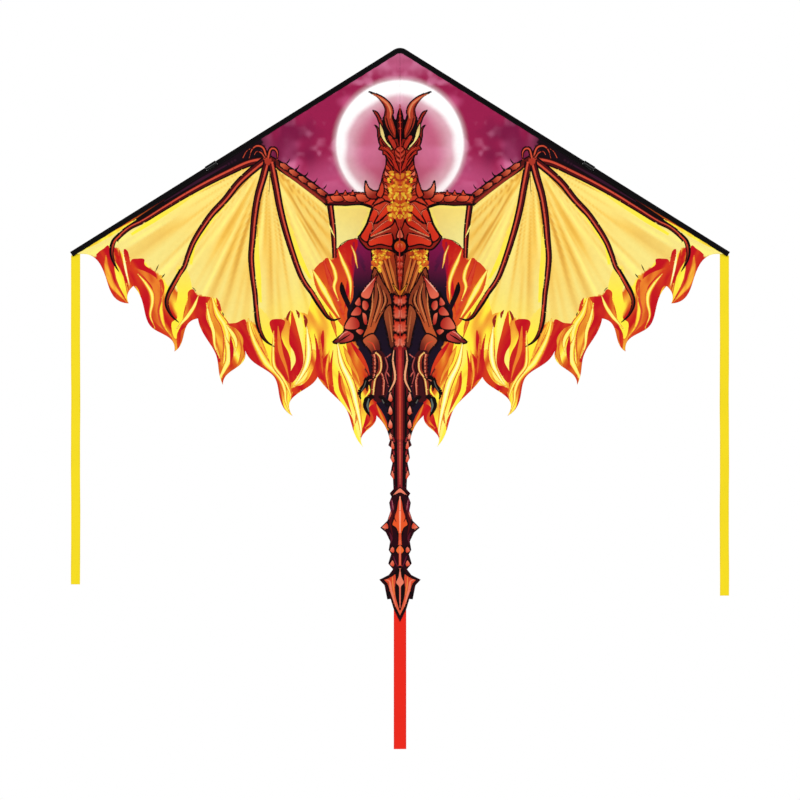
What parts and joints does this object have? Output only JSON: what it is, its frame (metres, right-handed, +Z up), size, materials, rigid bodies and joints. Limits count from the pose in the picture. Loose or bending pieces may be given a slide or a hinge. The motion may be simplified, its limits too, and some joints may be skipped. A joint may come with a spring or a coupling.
{
  "type": "delta kite",
  "caption": "Delta kite with a flame-edged printed dragon sail, hidden rod frame with clip-on spreader, keel with tow eyelet, printed tail and ribbon streamers.",
  "frame": {"origin": "centre of the tow eyelet at the keel's tip", "axes": "+Z up along the spine, towards the nose; the printed face looks along -Y; +X along the span"},
  "size_m": [1.4, 0.1747, 1.488],
  "materials": {
    "printed_polyester": "printed woven polyester",
    "black_polyester": "woven tape",
    "red_polyester": "woven polyester",
    "yellow_ribbon": "satin ribbon",
    "red_ribbon": "satin ribbon",
    "glass_fibre": "pultruded glass fibre rod",
    "soft_vinyl": "soft vinyl cap",
    "moulded_plastic": "moulded nylon",
    "brass": "pressed eyelet"
  },
  "bodies": {
    "spine_frame": {"spine_rod": "glass_fibre", "spine_top_cap": "soft_vinyl", "spine_bottom_cap": "soft_vinyl", "spine_pocket": "black_polyester", "centre_strip": "printed_polyester", "nose_cap": "black_polyester"},
    "keel": {"keel_panel": "red_polyester", "keel_binding": "red_polyester", "keel_patch_left": "red_polyester", "keel_patch_right": "red_polyester", "tow_eyelet": "brass", "eyelet_washer": "brass"},
    "left_wing": {"sail_left": "printed_polyester", "edge_sleeve_left": "black_polyester", "tip_pocket_left": "black_polyester", "edge_spar_left": "glass_fibre", "spar_nose_cap_left": "soft_vinyl", "spar_tip_cap_left": "soft_vinyl"},
    "right_wing": {"sail_right": "printed_polyester", "edge_sleeve_right": "black_polyester", "tip_pocket_right": "black_polyester", "edge_spar_right": "glass_fibre", "spar_nose_cap_right": "soft_vinyl", "spar_tip_cap_right": "soft_vinyl"},
    "spreader": {"spreader_rod": "glass_fibre", "spreader_hook_left": "moulded_plastic", "spreader_hook_right": "moulded_plastic"},
    "dragon_tail": {"dragon_tail_strip": "printed_polyester"},
    "left_streamer": {"streamer_left": "yellow_ribbon"},
    "right_streamer": {"streamer_right": "yellow_ribbon"},
    "red_streamer": {"streamer_red": "red_ribbon"}
  },
  "joints": [
    {"name": "left_wing_fold", "type": "hinge", "parent": "spine_frame", "child": "left_wing", "pos_m": [-0.01, 0.14, 0], "axis": [0, 0, 1], "range_deg": [0, 90]},
    {"name": "right_wing_fold", "type": "hinge", "parent": "spine_frame", "child": "right_wing", "pos_m": [0.01, 0.14, 0], "axis": [0, 0, 1], "range_deg": [-90, 0]},
    {"name": "keel_fold", "type": "hinge", "parent": "spine_frame", "child": "keel", "pos_m": [0, 0.1385, 0], "axis": [0, 0, 1], "range_deg": [-80, 80]},
    {"name": "spreader_release", "type": "slide", "parent": "spine_frame", "child": "spreader", "axis": [0, 1, 0], "range_m": [0, 0.06]},
    {"name": "dragon_tail_swing", "type": "hinge", "parent": "spine_frame", "child": "dragon_tail", "pos_m": [0, 0.14, -0.5025], "axis": [1, 0, 0], "range_deg": [-60, 60]},
    {"name": "red_streamer_swing", "type": "hinge", "parent": "dragon_tail", "child": "red_streamer", "pos_m": [0, 0.1412, -0.8555], "axis": [1, 0, 0], "range_deg": [0, 60]},
    {"name": "left_streamer_swing", "type": "hinge", "parent": "left_wing", "child": "left_streamer", "pos_m": [-0.6883, 0.1414, -0.114], "axis": [1, 0, 0], "range_deg": [-60, 60]},
    {"name": "right_streamer_swing", "type": "hinge", "parent": "right_wing", "child": "right_streamer", "pos_m": [0.6883, 0.1414, -0.114], "axis": [1, 0, 0], "range_deg": [-60, 60]}
  ]
}
